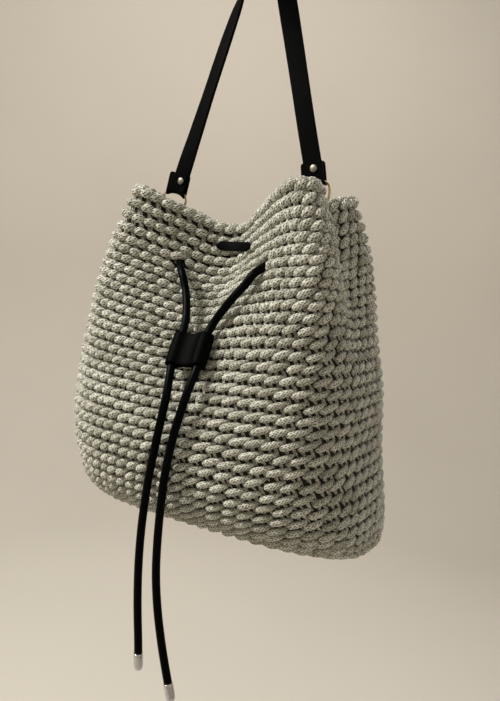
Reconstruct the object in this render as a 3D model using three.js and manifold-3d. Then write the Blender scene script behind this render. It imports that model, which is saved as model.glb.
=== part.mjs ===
// Crochet bucket bag hanging by a leather strap, with a drawstring, cord lock and metal fittings.
// Millimetres, +Z up, the bag's front faces -Y, origin under the top of the strap where it hangs.
import * as THREE from 'three';
import { mergeVertices } from 'three/addons/utils/BufferGeometryUtils.js';
import Module from 'manifold-3d';

const wasm = await Module();
wasm.setup();

// Crochet body
const BAG_X = -6.8;          // middle of the bag, beside the hang point
const WALL = 9;              // thickness of the knitted wall
const BASE_Z = -476;         // underside of the base
const SQUARENESS = 3.2;      // exponent of the squared oval that the bag has in plan
const PLAN_STRETCH = 1.42;   // plan length to depth, for spreading points evenly
const FADE_ROWS = 21;        // rows down to which the drawn-in rim is felt
const FADE_SWING = 3;        // how many rows further it is felt at the middles than at the corners
const RIDGE_SHARE = 0.148;   // share of the girth from the front middle to a front ridge
const SEGMENTS = 90;         // faces round the bag
// crochet row, half width, half depth, shift in x, height
const SECTIONS = [
  [0, 98.9, 66.5, 4.5, -195.5],
  [4, 113.8, 75.5, 4.0, -236.9],
  [8, 120.4, 82.9, 2.0, -272.2],
  [12, 123.1, 88.7, 0.5, -308.6],
  [17, 129.0, 90.8, 0.0, -354.5],
  [22, 130.7, 93.9, 1.0, -400.8],
  [26, 131.7, 87.2, 6.7, -437.7],
  [28, 132.2, 79.5, 9.8, -453.8],
  [30, 131.6, 66.2, 12.0, -466.8],
  [31.5, 130.0, 54.1, 12.5, -473.6],
  [32.7, 121.0, 44.0, 12.5, BASE_Z],
];
// Stations of the rim, front middle to back middle: x to either side, y, drop on the right, drop on the left
const RIM = [
  [0, -4, 29.5, 29.5],
  [19, -14, 18, 30],
  [37, -28, 9, 21],
  [54, -43, 3, 13.5],
  [69, -52, 0.5, 7.5],
  [82, -47, 0, 4.5],
  [80.5, -26, 1.5, 7],
  [64, 0, 12, 18],
  [75.5, 28, 3, 17.5],
  [77, 49, 0, 19],
  [66, 56, 2, 22],
  [54, 51, 9, 25],
  [38, 43, 20, 32],
  [20, 37, 29, 36.5],
  [0, 35, 35, 35],
];
const FOLD_STATIONS = [0, 4, 7, 10, 14];   // front middle, front ridge, side valley, back ridge, back middle
// Rows at which the walls are cut into faces, and the round of the rim: row, share of the wall's depth
const OUTER_ROWS = [32.7, 31.5, 30, 28.5, 27, 25, 22.5, 20, 17.5, 15, 12.5, 10, 8, 6, 4.5, 3.2, 2, 1, 0.45];
const RIM_ROUND = [[0.13, 0.15], [0, 0.5], [0.13, 0.85]];
const INNER_ROWS = [0.45, 1, 2, 3.2, 4.5, 6, 8, 10, 12.5, 15, 17.5, 20, 22.5, 25, 27, 28.5, 30];
const FLOOR_ROW = 31.2;                    // row at whose width the inside wall meets the floor
const FLOOR_SHARES = [0, 0.35, 0.7];       // rings of faces across the base, as shares of its size

// Drawstring
const CORD_RADIUS = 3.2;
const HOLE_RADIUS = 4.1;
const HOLE_LEFT = { at: [-40.2, -37.4, -264.5], out: [0.59, -0.73, -0.35] };
const HOLE_RIGHT = { at: [45.8, -49.1, -262.3], out: [-0.45, -0.77, -0.45] };
const CORD_SPACING = 22.6;   // between the two channels of the lock
const MEET_DEPTH = 4.6;      // how deep in the wall the tail and the hidden loop meet
const MEET_GAP = 0.3;
const LOOP_DEPTH = 14;       // along the slanted holes, to the inside of the wall
// Ways of the tails between hole and lock, then from the lock to the cap: x, y, z
const LEFT_UPPER = [
  [-31.8, -44.7, -271.8],
  [-24.6, -48.5, -284.6],
  [-18.6, -54, -296.2],
  [-14.0, -60, -307],
];
const LEFT_LOWER = [
  [-2.6, -93.9, -362.7],
  [-3.9, -98.1, -385],
  [-6.9, -98.6, -403.9],
  [-10.9, -98.6, -428],
  [-13.8, -98.5, -453.8],
  [-15.3, -98.4, -479.7],
  [-15.2, -98.4, -505.5],
  [-13.8, -98.3, -531.1],
  [-11.4, -98.2, -556],
  [-10.7, -98, -566.5],
];
const RIGHT_UPPER = [
  [42.2, -56.7, -268.2],
  [36.8, -58.9, -276.6],
  [29.0, -61.2, -286.6],
  [21.6, -61.9, -296.2],
  [15.2, -62.6, -305.4],
];
const RIGHT_LOWER = [
  [14.7, -91.9, -357.9],
  [11.1, -97.8, -382.4],
  [7.5, -98.6, -400.9],
  [3.8, -98.6, -424.6],
  [2, -98.5, -449.8],
  [1.3, -98.5, -475],
  [2, -98.4, -500.1],
  [5.3, -98.4, -524.6],
  [10.5, -98.3, -548.5],
  [15.3, -98.2, -566.1],
  [19.3, -98, -579.6],
];
// Way of the hidden stretch inside the bag, left hole to right hole: x, y, z
const LOOP = [
  [-58, -17.5, -262],
  [-70.5, -6.5, -266],
  [-76, 5, -268],
  [-69, 18, -268],
  [-52, 27, -269],
  [-28, 30.5, -270],
  [-3, 31.5, -270],
  [22, 30.5, -270],
  [46, 27, -269],
  [62, 18, -268],
  [68, 5, -266.5],
  [66.5, -9, -263.5],
  [60.5, -25, -259],
];

// Cord lock: a leather strip wrapped into two channels and pinched between them
const LOCK_CENTRE = [2.4, -75.2, -328.8];
const LOCK_TILT = -0.571;
const LOCK_LEAN = -0.112;
const LOCK_HEIGHT = 27;
const LOCK_ROUND = 5.8;      // outer radius of a channel
const LOCK_PINCH = 2.6;      // half thickness between the channels
const CHANNEL_RADIUS = 3.9;

// End caps: radius and depth down from the cord's end
const CAP_PROFILE = [
  [0, 0],
  [3.4, 0],
  [3.65, -0.6],
  [3.65, -9.5],
  [3.4, -11.6],
  [2.7, -13.2],
  [1.5, -14.2],
  [0, -14.5],
];

// Strap: way of its middle line, and how far it is turned from lying on the peg to facing front
const STRAP_WIDTH = 15.5;
const STRAP_THICK = 2.4;
const STRAP_STEPS = 84;
// x, y, z, turn in degrees
const STRAP = [
  [-68.6, -8.0, -195.8, 90],
  [-67.5, -8.0, -192.2, 90],
  [-62.7, -8.0, -177.0, 90],
  [-56.0, -7.6, -156.0, 80],
  [-44.2, -7.0, -119.0, 70],
  [-31.5, -6.0, -79.0, 67],
  [-22.2, -4.6, -50.0, 58],
  [-14.3, -2.4, -25.0, 24],
  [-8.7, -0.8, -5.3, 0],
  [-6.4, -0.4, -1.4, 0],
  [0, 0, 1.2, 0],
  [6.4, -0.1, -1.4, 0],
  [8.6, -0.2, -5.3, 0],
  [14.2, -0.6, -25.0, 24],
  [21.3, -1.2, -50.0, 66],
  [29.5, -1.8, -79.0, 82],
  [40.4, -2.3, -119.0, 90],
  [50.1, -2.8, -154.5, 90],
  [58.0, -3.0, -182.4, 90],
  [59.5, -3.0, -187.6, 90],
];

// Tabs folded round the rings: top of the ring's middle line, lean about Y, and the rivet's place
const TAB_WIDTH = 19;
const TAB_HEIGHT = 14.8;
const TAB_LEATHER = 1.5;
const TAB_GAP = 1.6;         // half the space between the two layers
const TAB_LEFT = { bar: [-70.7, -8, -199.4], lean: 0.21, rivet: [-64.5, -8, -192.0] };
const TAB_RIGHT = { bar: [59.6, -3, -191.5], lean: -0.19, rivet: [59.6, -3, -182.4] };

// Rings: egg-shaped, the flatter end in the tab, the long end through the crochet below the rim
const RING_WIRE = 1.0;       // radius of the wire
const RING_HALF = 12.4;      // half width of the middle line
const RING_CROWN = 7.5;      // from the widest place up to the top
const RING_DROP = 23.5;      // from the top to the lowest point
const RING_CLEAR = 0.5;      // space left round the wire in the crochet

// Rivets: radius and place along the pin, from the front of the cap to the back
const RIVET_PROFILE = [
  [0, 4.7],
  [1.5, 4.45],
  [2.7, 3.9],
  [3.1, 3.35],
  [1.2, 3.35],
  [1.2, -3.35],
  [2.4, -3.35],
  [2.4, -4.1],
  [0, -4.1],
];
const RIVET_HOLE = 1.6;

// Label across the caved front: way of its middle line in plan, height, lean back, size, pointed ends
const LABEL_Z = -246.2;
const LABEL_LEAN = 0.29;
const LABEL_HEIGHT = 8;
const LABEL_THICK = 1.3;
const LABEL_POINT = 0.12;    // share of the length that tapers at each end
const LABEL_TIP = 0.3;       // share of the height left at the tip
// x, y
const LABEL = [
  [-18.0, -18.5],
  [-11.5, -16.6],
  [-1.0, -16.0],
  [9.0, -19.0],
  [18.9, -25.2],
];

// Materials
const crochetCord = new THREE.MeshStandardMaterial({ color: 0xa7a298, roughness: 0.9, metalness: 0 });
const blackCord = new THREE.MeshStandardMaterial({ color: 0x17161a, roughness: 0.45, metalness: 0 });
const blackLeather = new THREE.MeshStandardMaterial({ color: 0x141316, roughness: 0.55, metalness: 0 });
const silverMetal = new THREE.MeshStandardMaterial({ color: 0xc9cacb, roughness: 0.22, metalness: 1 });
const paleGold = new THREE.MeshStandardMaterial({ color: 0xc9b48c, roughness: 0.28, metalness: 1 });

const bag = new THREE.Group();

function addPiece(name, geometry, material) {
  const mesh = new THREE.Mesh(geometry, material);
  mesh.name = name;
  bag.add(mesh);
  return mesh;
}

// Welds a geometry's shared corners and drops the faces that have shrunk to a line
function welded(geometry) {
  geometry.deleteAttribute('normal');
  geometry.deleteAttribute('uv');
  const merged = mergeVertices(geometry, 1e-3);
  const kept = [];
  const index = merged.index.array;
  for (let k = 0; k < index.length; k += 3) {
    const [a, b, c] = [index[k], index[k + 1], index[k + 2]];
    if (a !== b && b !== c && c !== a) {
      kept.push(a, b, c);
    }
  }
  merged.setIndex(kept);
  return merged;
}

function toSolid(geometry) {
  const vertProperties = new Float32Array(geometry.attributes.position.array);
  const triVerts = new Uint32Array(geometry.index.array);
  return new wasm.Manifold(new wasm.Mesh({ numProp: 3, vertProperties, triVerts }));
}

// Cuts the tools out of a welded geometry
function cut(geometry, tools) {
  let solid = toSolid(geometry);
  for (const tool of tools) {
    solid = solid.subtract(toSolid(tool));
  }
  const mesh = solid.getMesh();
  const result = new THREE.BufferGeometry();
  result.setAttribute('position', new THREE.BufferAttribute(new Float32Array(mesh.vertProperties), 3));
  result.setIndex(Array.from(mesh.triVerts));
  result.computeVertexNormals();
  return result;
}

// Moves every corner of a geometry to where the function puts it
function reshape(geometry, place) {
  const position = geometry.attributes.position;
  for (let k = 0; k < position.count; k += 1) {
    const p = place(position.getX(k), position.getY(k), position.getZ(k), k);
    position.setXYZ(k, p.x, p.y, p.z);
  }
  return geometry;
}

// A round cord along a smooth line through the points
function cordAlong(points, radius, steps) {
  const section = new THREE.Shape();
  section.absarc(0, 0, radius, 0, 2 * Math.PI);
  const extrudePath = new THREE.CatmullRomCurve3(points, false, 'centripetal');
  return welded(new THREE.ExtrudeGeometry(section, { curveSegments: 4, steps, extrudePath }));
}

const vector = (row) => new THREE.Vector3(row[0], row[1], row[2]);

// The walls of the bag: u is the share of the girth from the front middle, w counts rows down from the rim
const halfShares = [0, RIDGE_SHARE, 0.25, 0.5 - RIDGE_SHARE];
const foldShares = [...halfShares, ...halfShares.map((share) => 0.5 + share), 1];

// A closed line given by points, read off by length between the marked points, which get the fold shares
function spreadLine(points, marks) {
  const reach = [0];
  for (let k = 1; k < points.length; k += 1) {
    const step = Math.hypot(points[k].x - points[k - 1].x, points[k].y - points[k - 1].y);
    reach.push(reach[k - 1] + step);
  }
  return (share) => {
    const u = share - Math.floor(share);
    let m = 0;
    while (u > foldShares[m + 1]) {
      m += 1;
    }
    const part = (u - foldShares[m]) / (foldShares[m + 1] - foldShares[m]);
    const goal = reach[marks[m]] + part * (reach[marks[m + 1]] - reach[marks[m]]);
    let k = marks[m];
    while (k < marks[m + 1] - 1 && reach[k + 1] < goal) {
      k += 1;
    }
    return points[k].clone().lerp(points[k + 1], (goal - reach[k]) / (reach[k + 1] - reach[k]));
  };
}

const RIM_STEP = 32;
const rimRight = RIM.map(([x, y, drop]) => new THREE.Vector3(x, y, drop));
const rimLeft = RIM.slice(1, -1).reverse().map(([x, y, , drop]) => new THREE.Vector3(-x, y, drop));
const rimStations = [...rimRight, ...rimLeft];
const rimCurve = new THREE.CatmullRomCurve3(rimStations, true, 'catmullrom', 0.5);
const rimMarks = [];
for (const station of FOLD_STATIONS) {
  rimMarks.push(station * RIM_STEP);
}
for (const station of FOLD_STATIONS.slice(0, -1).reverse()) {
  rimMarks.push((rimStations.length - station) * RIM_STEP);
}
const rimAt = spreadLine(rimCurve.getPoints(rimStations.length * RIM_STEP), rimMarks);

const OVAL_STEP = 90;
const ovalPoints = [];
const ovalMarks = [];
for (let k = 0; k <= 8 * OVAL_STEP; k += 1) {
  const angle = -Math.PI / 2 + (k / OVAL_STEP) * (Math.PI / 4);
  const [c, s] = [Math.cos(angle), Math.sin(angle)];
  const grow = (Math.abs(c) ** SQUARENESS + Math.abs(s) ** SQUARENESS) ** (-1 / SQUARENESS);
  ovalPoints.push(new THREE.Vector3(PLAN_STRETCH * c * grow, s * grow, 0));
  if (k % OVAL_STEP === 0) {
    ovalMarks.push(k);
  }
}
const ovalAt = spreadLine(ovalPoints, ovalMarks);

// One column of the sections at row w, by a smooth cubic through the rows
function section(column, w) {
  const last = SECTIONS.length - 1;
  let k = 0;
  while (k < last - 1 && w > SECTIONS[k + 1][0]) {
    k += 1;
  }
  const slope = (n) => {
    const rise = (a, b) => (SECTIONS[b][column] - SECTIONS[a][column]) / (SECTIONS[b][0] - SECTIONS[a][0]);
    if (n === 0 || n === last) {
      return n === 0 ? rise(0, 1) : rise(last - 1, last);
    }
    const before = SECTIONS[n][0] - SECTIONS[n - 1][0];
    const after = SECTIONS[n + 1][0] - SECTIONS[n][0];
    return (before * rise(n, n + 1) + after * rise(n - 1, n)) / (before + after);
  };
  const span = SECTIONS[k + 1][0] - SECTIONS[k][0];
  const t = (w - SECTIONS[k][0]) / span;
  const ease = t * t * (3 - 2 * t);
  const value = (1 - ease) * SECTIONS[k][column] + ease * SECTIONS[k + 1][column];
  return value + span * t * (1 - t) * ((1 - t) * slope(k) - t * slope(k + 1));
}

// Outer face of the wall: a squared oval low down that turns into the drawn-in rim towards the top
function wallAt(u, w) {
  const rim = rimAt(u);
  const oval = ovalAt(u);
  const left = Math.min(1, Math.max(0, 1 - w / (FADE_ROWS + FADE_SWING * Math.cos(4 * Math.PI * u))));
  const fade = left * left * (3 - 2 * left);
  const ex = oval.x / PLAN_STRETCH;
  const x = section(1, w) * ex + fade * (rim.x - SECTIONS[0][1] * ex) + section(3, w) + BAG_X;
  const y = section(2, w) * oval.y + fade * (rim.y - SECTIONS[0][2] * oval.y);
  return new THREE.Vector3(x, y, section(4, w) - fade * rim.z);
}

// Outward direction of the wall, evened out over a short stretch round the bag
function outwardAt(u, w) {
  const reach = 0.02;
  const around = wallAt(u + reach, w).sub(wallAt(u - reach, w));
  const down = wallAt(u, Math.min(w + 0.3, 32.7)).sub(wallAt(u, Math.max(w - 0.3, 0)));
  return down.cross(around).normalize();
}

const wallPoint = (u, w, depth) => wallAt(u, w).addScaledVector(outwardAt(u, w), -depth);

// Bag body: one turned profile up the outside, over the rim and down the inside, moved out to the walls
const baseRow = OUTER_ROWS[0];
const profile = [];
for (const share of FLOOR_SHARES) {
  profile.push({ w: baseRow, depth: 0, share });
}
for (const w of OUTER_ROWS) {
  profile.push({ w, depth: 0, share: 1 });
}
for (const [w, part] of RIM_ROUND) {
  profile.push({ w, depth: part * WALL, share: 1 });
}
for (const w of INNER_ROWS) {
  profile.push({ w, depth: WALL, share: 1 });
}
for (const share of [1, ...[...FLOOR_SHARES].reverse()]) {
  profile.push({ w: FLOOR_ROW, depth: WALL, share, floor: true });
}
const turned = new THREE.LatheGeometry(profile.map(({ w, share }) => new THREE.Vector2(share, -w)), SEGMENTS);
const baseMiddle = new THREE.Vector3(BAG_X + section(3, baseRow), 0, BASE_Z);
reshape(turned, (x, y, z, k) => {
  const u = (Math.floor(k / profile.length) % SEGMENTS) / SEGMENTS;
  const { w, depth, share, floor } = profile[k % profile.length];
  const p = wallPoint(u, w, depth);
  p.z = floor ? BASE_Z + WALL : p.z;
  return p.lerp(new THREE.Vector3(baseMiddle.x, baseMiddle.y, p.z), 1 - share);
});
const bodyBlank = welded(turned);

// Straight hole through the wall for the drawstring
function holeThrough(hole) {
  const at = vector(hole.at);
  const out = vector(hole.out).normalize();
  const geometry = new THREE.CylinderGeometry(HOLE_RADIUS, HOLE_RADIUS, 26, 12);
  geometry.applyQuaternion(new THREE.Quaternion().setFromUnitVectors(new THREE.Vector3(0, 1, 0), out));
  geometry.translate(at.x - 4 * out.x, at.y - 4 * out.y, at.z - 4 * out.z);
  return welded(geometry);
}

// Ring: a torus moved onto the ring's middle line, which is two half ellipses
const ringLine = new THREE.Path();
ringLine.absellipse(0, -RING_CROWN, RING_HALF, RING_CROWN, 0, Math.PI);
ringLine.absellipse(0, -RING_CROWN, RING_HALF, RING_DROP - RING_CROWN, Math.PI, 2 * Math.PI);
function ringShape(wire, tab) {
  const geometry = new THREE.TorusGeometry(20, wire, 8, 48);
  reshape(geometry, (x, y, z) => {
    const turn = (Math.atan2(y, x) / (2 * Math.PI) + 1) % 1;
    const middle = ringLine.getPointAt(turn);
    const along = ringLine.getTangentAt(turn);
    const out = Math.hypot(x, y) - 20;
    return new THREE.Vector3(middle.x + along.y * out, -z, middle.y - along.x * out);
  });
  geometry.rotateY(tab.lean);
  geometry.translate(...tab.bar);
  return welded(geometry);
}

const bodyCuts = [
  holeThrough(HOLE_LEFT),
  holeThrough(HOLE_RIGHT),
  ringShape(RING_WIRE + RING_CLEAR, TAB_LEFT),
  ringShape(RING_WIRE + RING_CLEAR, TAB_RIGHT),
];
addPiece('bag_body', cut(bodyBlank, bodyCuts), crochetCord);
addPiece('ring_left', ringShape(RING_WIRE, TAB_LEFT), paleGold);
addPiece('ring_right', ringShape(RING_WIRE, TAB_RIGHT), paleGold);

// Cord lock
const half = CORD_SPACING / 2;
const bridge = Math.acos(0.62);
const lockOutline = new THREE.Shape();
lockOutline.absarc(half, 0, LOCK_ROUND, -Math.PI + bridge, Math.PI - bridge);
lockOutline.quadraticCurveTo(half * 0.45, LOCK_PINCH, 0, LOCK_PINCH);
lockOutline.quadraticCurveTo(-half * 0.45, LOCK_PINCH, -half - LOCK_ROUND * Math.cos(Math.PI - bridge),
  LOCK_ROUND * Math.sin(bridge));
lockOutline.absarc(-half, 0, LOCK_ROUND, bridge, 2 * Math.PI - bridge);
lockOutline.quadraticCurveTo(-half * 0.45, -LOCK_PINCH, 0, -LOCK_PINCH);
lockOutline.quadraticCurveTo(half * 0.45, -LOCK_PINCH, half + LOCK_ROUND * Math.cos(Math.PI - bridge),
  -LOCK_ROUND * Math.sin(bridge));
for (const side of [-1, 1]) {
  const channel = new THREE.Path();
  channel.absarc(side * half, 0, CHANNEL_RADIUS, 0, 2 * Math.PI, true);
  lockOutline.holes.push(channel);
}
const lockSettings = { depth: LOCK_HEIGHT, bevelEnabled: false, curveSegments: 8 };
const lockBlock = new THREE.ExtrudeGeometry(lockOutline, lockSettings);
lockBlock.translate(0, 0, -LOCK_HEIGHT / 2);
const lock = addPiece('cord_lock', welded(lockBlock), blackLeather);
lock.position.set(...LOCK_CENTRE);
lock.rotation.set(LOCK_TILT, LOCK_LEAN, 0);
lock.updateMatrixWorld();
const inLock = (side, z) => new THREE.Vector3(side * half, 0, z).applyMatrix4(lock.matrixWorld);

// Drawstring: two tails and the hidden loop, meeting inside the holes
function holePoint(hole, depth) {
  return vector(hole.at).addScaledVector(vector(hole.out).normalize(), -depth);
}
function tailWay(hole, upper, side, lower) {
  return [
    holePoint(hole, MEET_DEPTH),
    holePoint(hole, 0),
    ...upper.map(vector),
    inLock(side, 15),
    inLock(side, 6),
    inLock(side, -6),
    inLock(side, -15),
    ...lower.map(vector),
  ];
}
const leftWay = tailWay(HOLE_LEFT, LEFT_UPPER, -1, LEFT_LOWER);
const rightWay = tailWay(HOLE_RIGHT, RIGHT_UPPER, 1, RIGHT_LOWER);
addPiece('drawstring_tail_left', cordAlong(leftWay, CORD_RADIUS, 52), blackCord);
addPiece('drawstring_tail_right', cordAlong(rightWay, CORD_RADIUS, 52), blackCord);
const loopWay = [
  holePoint(HOLE_LEFT, MEET_DEPTH + MEET_GAP),
  holePoint(HOLE_LEFT, LOOP_DEPTH),
  ...LOOP.map(vector),
  holePoint(HOLE_RIGHT, LOOP_DEPTH),
  holePoint(HOLE_RIGHT, MEET_DEPTH + MEET_GAP),
];
addPiece('drawstring_loop', cordAlong(loopWay, CORD_RADIUS, 56), blackCord);

// End caps, in line with the last stretch of each tail
function endCap(name, way) {
  const cap = new THREE.LatheGeometry(CAP_PROFILE.map(([r, z]) => new THREE.Vector2(r, z)).reverse(), 20);
  const end = way[way.length - 1];
  const along = end.clone().sub(way[way.length - 2]).normalize();
  cap.translate(0, -MEET_GAP, 0);
  cap.applyQuaternion(new THREE.Quaternion().setFromUnitVectors(new THREE.Vector3(0, -1, 0), along));
  cap.translate(end.x, end.y, end.z);
  addPiece(name, welded(cap), silverMetal);
}
endCap('end_cap_left', leftWay);
endCap('end_cap_right', rightWay);

// Rivet pins and the holes for them, lying along Y with the cap to the front
function alongPin(geometry, tab) {
  geometry.rotateX(Math.PI);
  geometry.translate(...tab.rivet);
  return welded(geometry);
}
function rivetShape(tab) {
  const points = RIVET_PROFILE.map(([r, z]) => new THREE.Vector2(r, z)).reverse();
  return alongPin(new THREE.LatheGeometry(points, 16), tab);
}
function rivetHole(tab) {
  return alongPin(new THREE.CylinderGeometry(RIVET_HOLE, RIVET_HOLE, 14, 14), tab);
}

// Strap: a flat band carried along its way, turning from the peg to the front
const strapWay = new THREE.CatmullRomCurve3(STRAP.map(vector), false, 'centripetal');
const turnPoints = STRAP.map((row) => new THREE.Vector3(row[3], 0, 0));
const strapTurns = new THREE.CatmullRomCurve3(turnPoints, false, 'catmullrom', 0);
const band = new THREE.BoxGeometry(1, STRAP_WIDTH, STRAP_THICK, STRAP_STEPS, 2, 1);
reshape(band, (x, y, z) => {
  const t = x + 0.5;
  const middle = strapWay.getPoint(t);
  const along = strapWay.getTangent(t);
  const turn = strapTurns.getPoint(t).x * (Math.PI / 180);
  const front = new THREE.Vector3(0, -1, 0);
  const outward = front.clone().cross(along).normalize();
  const face = outward.multiplyScalar(Math.cos(turn)).addScaledVector(front, Math.sin(turn));
  face.addScaledVector(along, -face.dot(along)).normalize();
  const across = face.clone().cross(along);
  return middle.addScaledVector(across, y).addScaledVector(face, z);
});
addPiece('strap', cut(welded(band), [rivetHole(TAB_LEFT), rivetHole(TAB_RIGHT)]), blackLeather);

// Tabs: a leather strip folded round the ring, its two layers either side of the strap. Its fold follows the
// ring's bend, which dies out towards the top.
function foldedTab(name, tab) {
  const outer = TAB_GAP + TAB_LEATHER;
  const outline = new THREE.Shape();
  outline.moveTo(outer, TAB_HEIGHT);
  outline.lineTo(TAB_GAP, TAB_HEIGHT);
  outline.lineTo(TAB_GAP, 0);
  outline.absarc(0, 0, TAB_GAP, 0, -Math.PI, true);
  outline.lineTo(-TAB_GAP, TAB_HEIGHT);
  outline.lineTo(-outer, TAB_HEIGHT);
  outline.lineTo(-outer, 0);
  outline.absarc(0, 0, outer, -Math.PI, 0, false);
  const settings = { depth: TAB_WIDTH, steps: 12, bevelEnabled: false, curveSegments: 10 };
  const fold = new THREE.ExtrudeGeometry(outline, settings);
  fold.translate(0, 0, -TAB_WIDTH / 2);
  reshape(fold, (x, y, z) => {
    const bend = RING_CROWN * (1 - Math.sqrt(1 - (z / RING_HALF) ** 2));
    return new THREE.Vector3(z, x, y - bend * Math.min(1, 1 - y / TAB_HEIGHT));
  });
  fold.rotateY(tab.lean);
  fold.translate(...tab.bar);
  addPiece(name, cut(welded(fold), [rivetHole(tab)]), blackLeather);
}
foldedTab('strap_tab_left', TAB_LEFT);
foldedTab('strap_tab_right', TAB_RIGHT);
addPiece('rivet_left', rivetShape(TAB_LEFT), silverMetal);
addPiece('rivet_right', rivetShape(TAB_RIGHT), silverMetal);

// Label: a thin tag bent along its way, its height tapering to the points
const labelPoints = LABEL.map(([x, y]) => new THREE.Vector3(x, y, LABEL_Z));
const labelWay = new THREE.CatmullRomCurve3(labelPoints, false, 'centripetal');
const tag = new THREE.BoxGeometry(1, LABEL_HEIGHT, LABEL_THICK, 18, 2, 1);
reshape(tag, (x, y, z) => {
  const t = x + 0.5;
  const along = labelWay.getTangentAt(t);
  const flat = along.clone().cross(new THREE.Vector3(0, 0, 1));
  const up = flat.clone().multiplyScalar(-Math.sin(LABEL_LEAN)).setZ(Math.cos(LABEL_LEAN));
  const face = along.clone().cross(up);
  const share = LABEL_TIP + (1 - LABEL_TIP) * Math.min(1, (0.5 - Math.abs(x)) / LABEL_POINT);
  return labelWay.getPointAt(t).addScaledVector(up, y * share).addScaledVector(face, z);
});
addPiece('label', welded(tag), blackLeather);

export default bag;
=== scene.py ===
import bpy
import numpy as np
from mathutils import Matrix


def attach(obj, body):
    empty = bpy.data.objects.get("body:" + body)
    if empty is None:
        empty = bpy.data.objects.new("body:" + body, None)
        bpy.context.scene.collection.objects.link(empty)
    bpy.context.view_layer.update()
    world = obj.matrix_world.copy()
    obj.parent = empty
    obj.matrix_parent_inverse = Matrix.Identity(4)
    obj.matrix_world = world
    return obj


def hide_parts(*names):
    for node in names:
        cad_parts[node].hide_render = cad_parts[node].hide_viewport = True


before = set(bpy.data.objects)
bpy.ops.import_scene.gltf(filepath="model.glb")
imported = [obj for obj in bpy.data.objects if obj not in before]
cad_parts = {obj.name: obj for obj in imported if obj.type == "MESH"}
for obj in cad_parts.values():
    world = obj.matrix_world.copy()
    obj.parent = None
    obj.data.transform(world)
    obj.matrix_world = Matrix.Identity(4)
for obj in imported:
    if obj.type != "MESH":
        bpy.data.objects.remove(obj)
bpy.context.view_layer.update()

# Camera: at the photograph's viewing angle, to the right of the bag's front,
# a little above its middle and level enough to see the drawn-in rim edge on.
EYE = (0.2840, -0.4716, -0.2713)
TO_RIGHT = (0.85903, 0.50600, 0.07767)
TO_TOP = (-0.12312, 0.05694, 0.99076)
TO_BACK = (0.49690, -0.86065, 0.11121)
camera = bpy.data.objects.new("camera", bpy.data.cameras.new("camera"))
camera.data.lens = 33.02
camera.data.sensor_fit = "VERTICAL"
camera.data.sensor_height = 36.0
camera.data.clip_start = 0.01
camera.matrix_world = Matrix.Translation(EYE) @ Matrix((TO_RIGHT, TO_TOP, TO_BACK)).transposed().to_4x4()
bpy.context.scene.collection.objects.link(camera)
bpy.context.scene.camera = camera

# Drawstring: one round black leather cord, 6.4 mm thick, that runs inside the bag below the rim.
# Its two tails come out through the front wall, pass the lock and hang down past the base.
MM = 0.001
CORD_RADIUS = 0.0032
HALF_SPACING = 0.0113
HOLE_LEFT = np.array([-0.0402, -0.0374, -0.2645])
OUT_LEFT = np.array([0.59, -0.73, -0.35])
HOLE_RIGHT = np.array([0.0458, -0.0491, -0.2623])
OUT_RIGHT = np.array([-0.45, -0.77, -0.45])
LEFT_UPPER = [[-0.0318, -0.0447, -0.2718], [-0.0246, -0.0485, -0.2846], [-0.0186, -0.0540, -0.2962],
              [-0.0140, -0.0600, -0.3070]]
LEFT_LOWER = [[-0.0026, -0.0939, -0.3627], [-0.0039, -0.0981, -0.3850], [-0.0069, -0.0986, -0.4039],
              [-0.0109, -0.0986, -0.4280], [-0.0138, -0.0985, -0.4538], [-0.0153, -0.0984, -0.4797],
              [-0.0152, -0.0984, -0.5055], [-0.0138, -0.0983, -0.5311], [-0.0114, -0.0982, -0.5560],
              [-0.0107, -0.0980, -0.5665]]
RIGHT_UPPER = [[0.0422, -0.0567, -0.2682], [0.0368, -0.0589, -0.2766], [0.0290, -0.0612, -0.2866],
               [0.0216, -0.0619, -0.2962], [0.0152, -0.0626, -0.3054]]
RIGHT_LOWER = [[0.0147, -0.0919, -0.3579], [0.0111, -0.0978, -0.3824], [0.0075, -0.0986, -0.4009],
               [0.0038, -0.0986, -0.4246], [0.0020, -0.0985, -0.4498], [0.0013, -0.0985, -0.4750],
               [0.0020, -0.0984, -0.5001], [0.0053, -0.0984, -0.5246], [0.0105, -0.0983, -0.5485],
               [0.0153, -0.0982, -0.5661], [0.0193, -0.0980, -0.5796]]
INSIDE_LOOP = [[-0.0580, -0.0175, -0.2620], [-0.0705, -0.0065, -0.2660], [-0.0760, 0.0050, -0.2680],
               [-0.0690, 0.0180, -0.2680], [-0.0520, 0.0270, -0.2690], [-0.0280, 0.0305, -0.2700],
               [-0.0030, 0.0315, -0.2700], [0.0220, 0.0305, -0.2700], [0.0460, 0.0270, -0.2690],
               [0.0620, 0.0180, -0.2680], [0.0680, 0.0050, -0.2665], [0.0665, -0.0090, -0.2635],
               [0.0605, -0.0250, -0.2590]]
LOCK_CENTRE = np.array([0.0024, -0.0752, -0.3288])
LOCK_TILT = -0.571
LOCK_LEAN = -0.112
LOCK_TURN = np.array(Matrix.Rotation(LOCK_TILT, 3, "X") @ Matrix.Rotation(LOCK_LEAN, 3, "Y"))
WAY_STEPS = 40
SHARP_ANGLE = np.radians(35)


def unit(v):
    """Vectors of length one in the same directions."""
    return v / np.maximum(np.linalg.norm(v, axis=-1, keepdims=True), 1e-12)


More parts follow.
